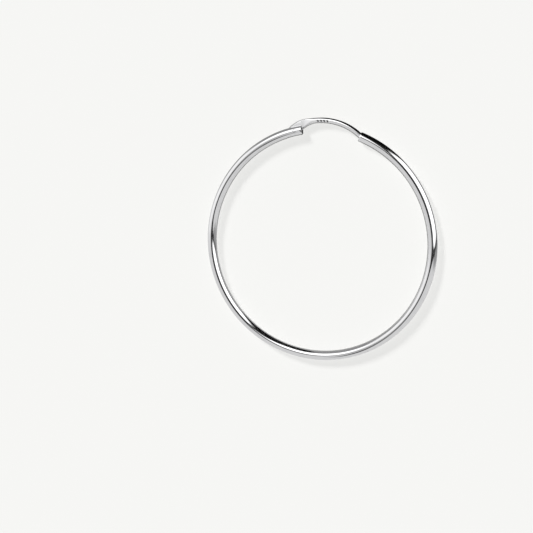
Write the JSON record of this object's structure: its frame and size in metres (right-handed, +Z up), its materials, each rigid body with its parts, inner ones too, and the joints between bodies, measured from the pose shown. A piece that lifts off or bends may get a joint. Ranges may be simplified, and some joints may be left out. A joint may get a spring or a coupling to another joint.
{
  "type": "hoop earring",
  "caption": "Plain polished silver hoop earring: a hollow round tube bent to an open circle, closed by an arched ear wire that pivots in a slit at one end and seats in the other.",
  "frame": {"origin": "under the middle of the whole outline, on the surface that the hoop lies on", "axes": "+Z up through the flat-lying hoop, +Y from the hoop's middle to its opening and ear wire, +X to the catch side of the opening"},
  "size_m": [0.04, 0.041, 0.0015],
  "materials": {
    "polished_silver": "mirror-polished sterling silver with very fine polishing marks"
  },
  "bodies": {
    "hoop": {"hoop_tube": "polished_silver", "hinge_pin": "polished_silver"},
    "ear_wire": {"ear_wire": "polished_silver"}
  },
  "joints": [
    {"name": "ear_wire_hinge", "type": "hinge", "parent": "hoop", "child": "ear_wire", "pos_m": [-0.00615, 0.01775, 0.00075], "axis": [0, 0, 1], "range_deg": [0, 80]}
  ]
}
